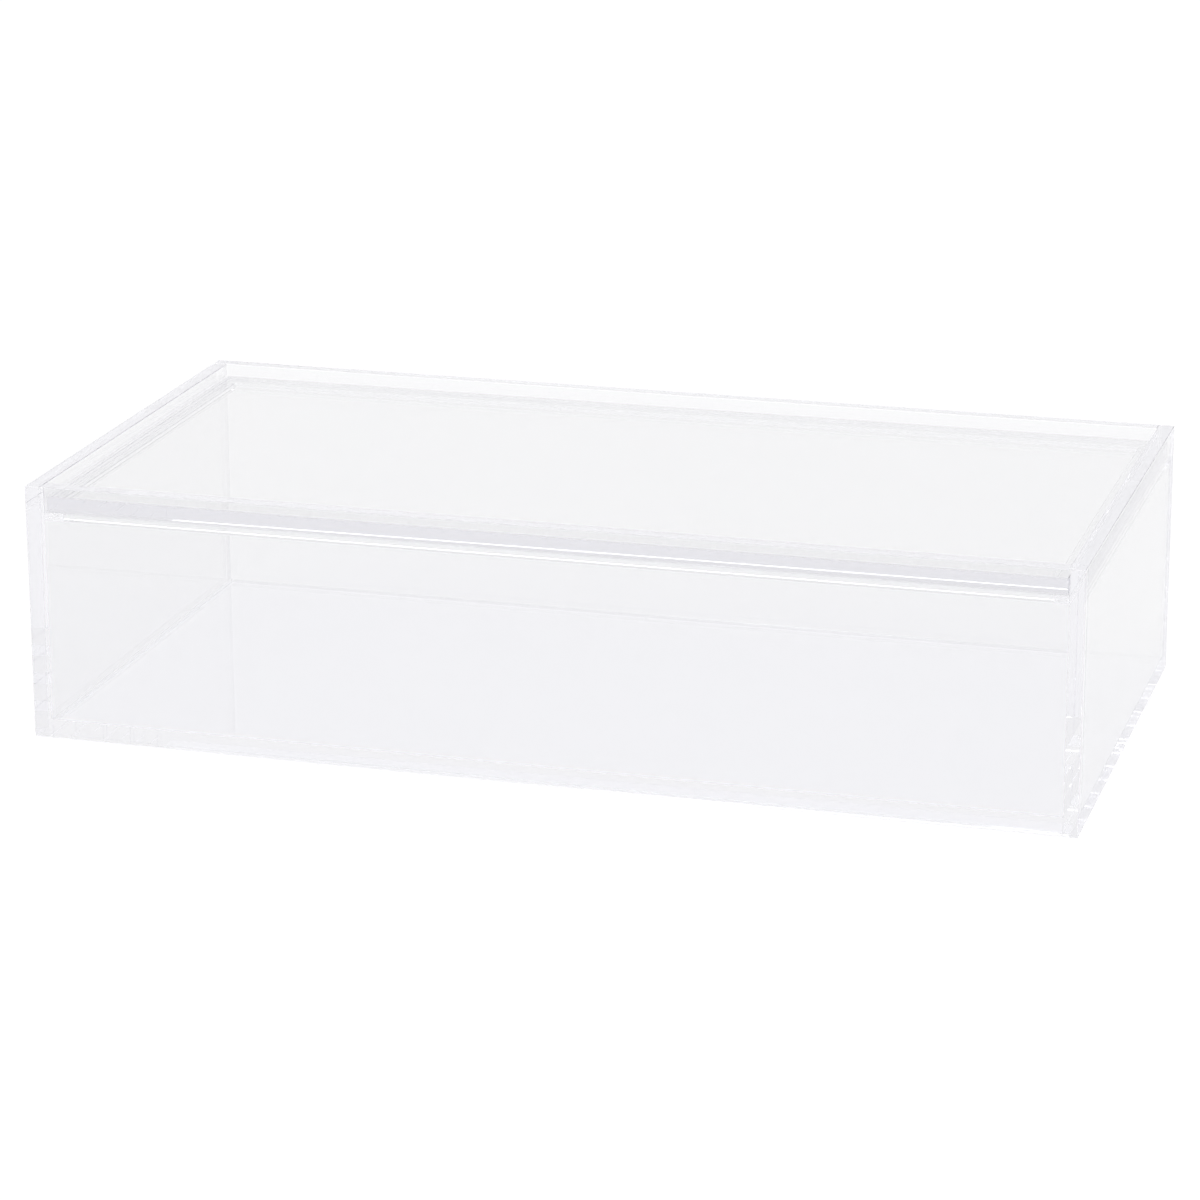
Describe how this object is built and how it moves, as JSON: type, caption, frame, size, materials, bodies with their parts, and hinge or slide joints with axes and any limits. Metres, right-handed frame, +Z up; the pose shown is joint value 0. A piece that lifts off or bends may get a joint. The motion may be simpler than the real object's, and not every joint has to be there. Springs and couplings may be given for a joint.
{
  "type": "storage box",
  "caption": "Low rectangular clear sheet box with a loose flat lid that drops in between the walls and rests on inner ledges.",
  "frame": {"origin": "centre of the underside", "axes": "+X along the length, +Y from the front to the back, +Z up"},
  "size_m": [0.2, 0.1, 0.0495],
  "materials": {
    "clear_sheet": "clear polished acrylic sheet",
    "clear_ledge": "clear acrylic strip with sawn edges",
    "clear_lid": "clear polished acrylic sheet"
  },
  "bodies": {
    "box": {"base": "clear_sheet", "front_wall": "clear_sheet", "back_wall": "clear_sheet", "left_wall": "clear_sheet", "right_wall": "clear_sheet", "front_ledge": "clear_ledge", "back_ledge": "clear_ledge", "left_ledge": "clear_ledge", "right_ledge": "clear_ledge"},
    "lid": {"lid": "clear_lid"}
  },
  "joints": [
    {"name": "lid_lift", "type": "slide", "parent": "box", "child": "lid", "axis": [0, 0, 1], "range_m": [0, 0.06]}
  ]
}
